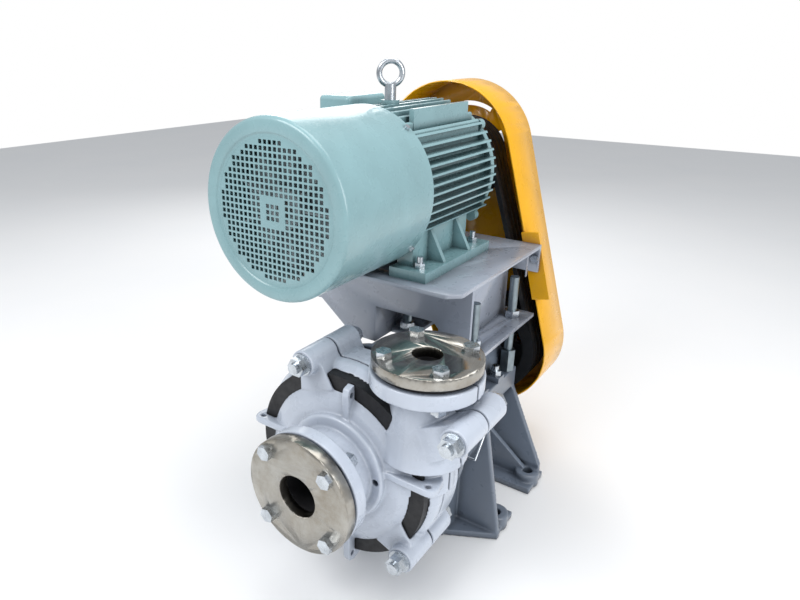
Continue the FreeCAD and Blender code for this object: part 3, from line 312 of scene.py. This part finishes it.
def bevelled_copy(node, width, name, look, body, segments=2, angle=32.0):
    """Sheet or machined piece made from a CAD node, with small rounded edges."""
    obj = temporary(welded_copy(node))
    bevel = obj.modifiers.new("bevel", "BEVEL")
    bevel.width = width
    bevel.segments = segments
    bevel.limit_method = "ANGLE"
    bevel.angle_limit = math.radians(angle)
    bevel.harden_normals = True
    mesh = applied(obj)
    bpy.data.objects.remove(obj)
    for polygon in mesh.polygons:
        polygon.use_smooth = True
    mesh.set_sharp_from_angle(angle=math.radians(40))
    return new_piece(name, mesh, look, body, (node,))


# ------------------------------------------------------------------ camera, floor and light
scene = bpy.context.scene
scene.view_settings.view_transform = "Standard"

YAW, PITCH, ROLL = math.radians(36.77), math.radians(21.51), math.radians(-0.11)
camera_data = bpy.data.cameras.new("camera")
camera = bpy.data.objects.new("camera", camera_data)
scene.collection.objects.link(camera)
back = Vector((math.sin(YAW) * math.cos(PITCH), -math.cos(YAW) * math.cos(PITCH), math.sin(PITCH)))
right = Vector((math.cos(YAW), math.sin(YAW), 0.0))
up = back.cross(right)
basis = Matrix((right, up, back)).transposed().to_4x4()
camera.matrix_world = Matrix.Translation((0.5783, -1.1522, 0.9443)) @ basis @ Matrix.Rotation(ROLL, 4, "Z")
camera_data.sensor_width = 36.0
camera_data.lens = 28.88
camera_data.shift_x = 0.0695
camera_data.shift_y = -0.0025
camera_data.clip_end = 60.0
scene.camera = camera

world = bpy.data.worlds.new("world")
scene.world = world
world.use_nodes = True
tree = world.node_tree
tree.nodes.clear()
output = tree.nodes.new("ShaderNodeOutputWorld")
lit = tree.nodes.new("ShaderNodeBackground")
lit.inputs["Color"].default_value = (0.93, 0.96, 1.0, 1.0)
lit.inputs["Strength"].default_value = 0.55
seen = tree.nodes.new("ShaderNodeBackground")
seen.inputs["Color"].default_value = (1.0, 1.0, 1.0, 1.0)
seen.inputs["Strength"].default_value = 1.0
path = tree.nodes.new("ShaderNodeLightPath")
choose = tree.nodes.new("ShaderNodeMixShader")
tree.links.new(path.outputs["Is Camera Ray"], choose.inputs[0])
tree.links.new(lit.outputs[0], choose.inputs[1])
tree.links.new(seen.outputs[0], choose.inputs[2])
tree.links.new(choose.outputs[0], output.inputs["Surface"])


def stage_floor():
    bm = bmesh.new()
    bmesh.ops.create_grid(bm, x_segments=2, y_segments=2, size=6.0)
    mesh = bpy.data.meshes.new("floor")
    bm.to_mesh(mesh)
    bm.free()
    floor = bpy.data.objects.new("floor", mesh)
    scene.collection.objects.link(floor)
    floor.location = (0.0, 0.0, -0.0005)
    m = Nodes("floor_look")
    m.colour(m.mix(m.remap(m.noise(2.0), 0.3, 0.7, 0.0, 1.0), (0.90, 0.90, 0.90, 1.0), (0.88, 0.885, 0.89, 1.0)))
    m.set(Roughness=0.9)
    mesh.materials.append(m.material)


stage_floor()


def area_light(name, place, target, size, power, colour=(1.0, 1.0, 1.0)):
    data = bpy.data.lights.new(name, "AREA")
    data.shape = "RECTANGLE"
    data.size, data.size_y = size
    data.energy = power
    data.color = colour
    obj = bpy.data.objects.new(name, data)
    scene.collection.objects.link(obj)
    obj.location = place
    obj.rotation_euler = (Vector(target) - Vector(place)).to_track_quat("-Z", "Y").to_euler()


area_light("key", (-0.9, -2.2, 2.6), (0.0, -0.1, 0.4), (1.6, 1.2), 46.0)
area_light("side", (2.4, -0.7, 1.5), (0.0, -0.1, 0.4), (1.2, 1.6), 30.0)
area_light("top", (0.2, 0.3, 3.0), (0.0, 0.0, 0.4), (1.8, 1.8), 30.0)
area_light("rim", (-1.8, 1.9, 1.8), (0.0, 0.0, 0.5), (1.4, 1.4), 18.0)

# ------------------------------------------------------------------ dressed pieces
cast_copy("cover_plate", CASING_VOXEL, MELT_ROUNDS, "cover_casting", CASING, STAND)
cast_copy("frame_plate", CASING_VOXEL, MELT_ROUNDS, "frame_casting", CASING, STAND)
cast_copy("base", BASE_VOXEL, MELT_ROUNDS, "base_casting", BASE, STAND)
bevelled_copy("motor_stand", 0.0012, "stand_plates", STAND_PAINT, CARRIAGE)
bevelled_copy("belt_guard", 0.0007, "guard_sheet", YELLOW, CARRIAGE)
bevelled_copy("suction_disc", 0.0010, "suction_disc_turned", SUCTION_STEEL, STAND)
bevelled_copy("discharge_disc", 0.0010, "discharge_disc_turned", DISCHARGE_STEEL, STAND)


def fan_cowl():
    """Spun sheet cowl with a rolled edge, a pressed step ring and a square-hole grille."""
    low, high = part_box("fan_cowl")
    cx, cz = (low.x + high.x) / 2, (low.z + high.z) / 2
    radius = (high.x - low.x) / 2
    y0, y1 = low.y, high.y
    wall = 0.0025
    profile = [(y1, radius - wall), (y1, radius), (y1 - 0.004, radius)]
    for i in range(9):
        a = math.radians(90 * i / 8)
        profile.append((y0 + 0.008 - 0.008 * math.sin(a), radius - 0.008 + 0.008 * math.cos(a)))
    profile += [(y0, 0.130), (y0 + 0.0008, 0.1285), (y0 + 0.0026, 0.1270), (y0 + 0.0030, 0.1255),
                (y0 + 0.0030, 0.1215), (y0 + 0.0046, 0.1215), (y0 + 0.0046, 0.128), (y0 + wall, 0.133)]
    profile += [(y0 + wall, radius - 0.012), (y0 + 0.006, radius - 0.0045), (y0 + 0.012, radius - wall)]
    steps = 128
    bm = bmesh.new()
    rings = []
    for k in range(steps):
        a = 2 * math.pi * k / steps
        rings.append([bm.verts.new((cx + r * math.cos(a), y, cz + r * math.sin(a))) for y, r in profile])
    count = len(profile)
    for k in range(steps):
        one, two = rings[k], rings[(k + 1) % steps]
        for i in range(count):
            j = (i + 1) % count
            bm.faces.new((one[i], one[j], two[j], two[i]))
    bmesh.ops.recalc_face_normals(bm, faces=bm.faces)
    shell = bpy.data.meshes.new("cowl_shell")
    bm.to_mesh(shell)
    bm.free()
    for polygon in shell.polygons:
        polygon.use_smooth = True
    shell.set_sharp_from_angle(angle=math.radians(50))
    new_piece("cowl_shell", shell, TEAL, CARRIAGE, ("fan_cowl",))

    curve = bpy.data.curves.new("grille", "CURVE")
    curve.dimensions = "2D"
    curve.fill_mode = "BOTH"
    curve.extrude = 0.0007
    curve.bevel_depth = 0.0002

    def outline(points):
        spline = curve.splines.new("POLY")
        spline.points.add(len(points) - 1)
        for point, (x, y) in zip(spline.points, points):
            point.co = (x, y, 0.0, 1.0)
        spline.use_cyclic_u = True

    rim = []
    for i in range(120):
        a = math.radians(3 * i)
        rim.append((GRILLE_RIM_R * math.cos(a), GRILLE_RIM_R * math.sin(a)))
    outline(rim)
    half, corner = GRILLE_HALF_HOLE, GRILLE_HOLE_CORNER
    for i in range(-GRILLE_REACH, GRILLE_REACH + 1):
        for k in range(-GRILLE_REACH, GRILLE_REACH + 1):
            x, y = i * GRILLE_PITCH, k * GRILLE_PITCH
            if math.hypot(x, y) > GRILLE_HOLES_R:
                continue
            ring = max(abs(i), abs(k))
            if ring == 2:
                continue
            points = []
            for sx, sy, a0 in ((1, 1, 0), (-1, 1, 90), (-1, -1, 180), (1, -1, 270)):
                for step in (0, 45, 90):
                    a = math.radians(a0 + step)
                    points.append((x + sx * (half - corner) + corner * math.cos(a),
                                   y + sy * (half - corner) + corner * math.sin(a)))
            outline(points)
    holder = bpy.data.objects.new("grille_curve", curve)
    scene.collection.objects.link(holder)
    mesh = applied(holder)
    bpy.data.objects.remove(holder)
    mesh.transform(Matrix.Translation((cx, y0 + 0.0040, cz)) @ Matrix.Rotation(math.radians(90), 4, "X"))
    new_piece("cowl_grille", mesh, TEAL, CARRIAGE)


fan_cowl()
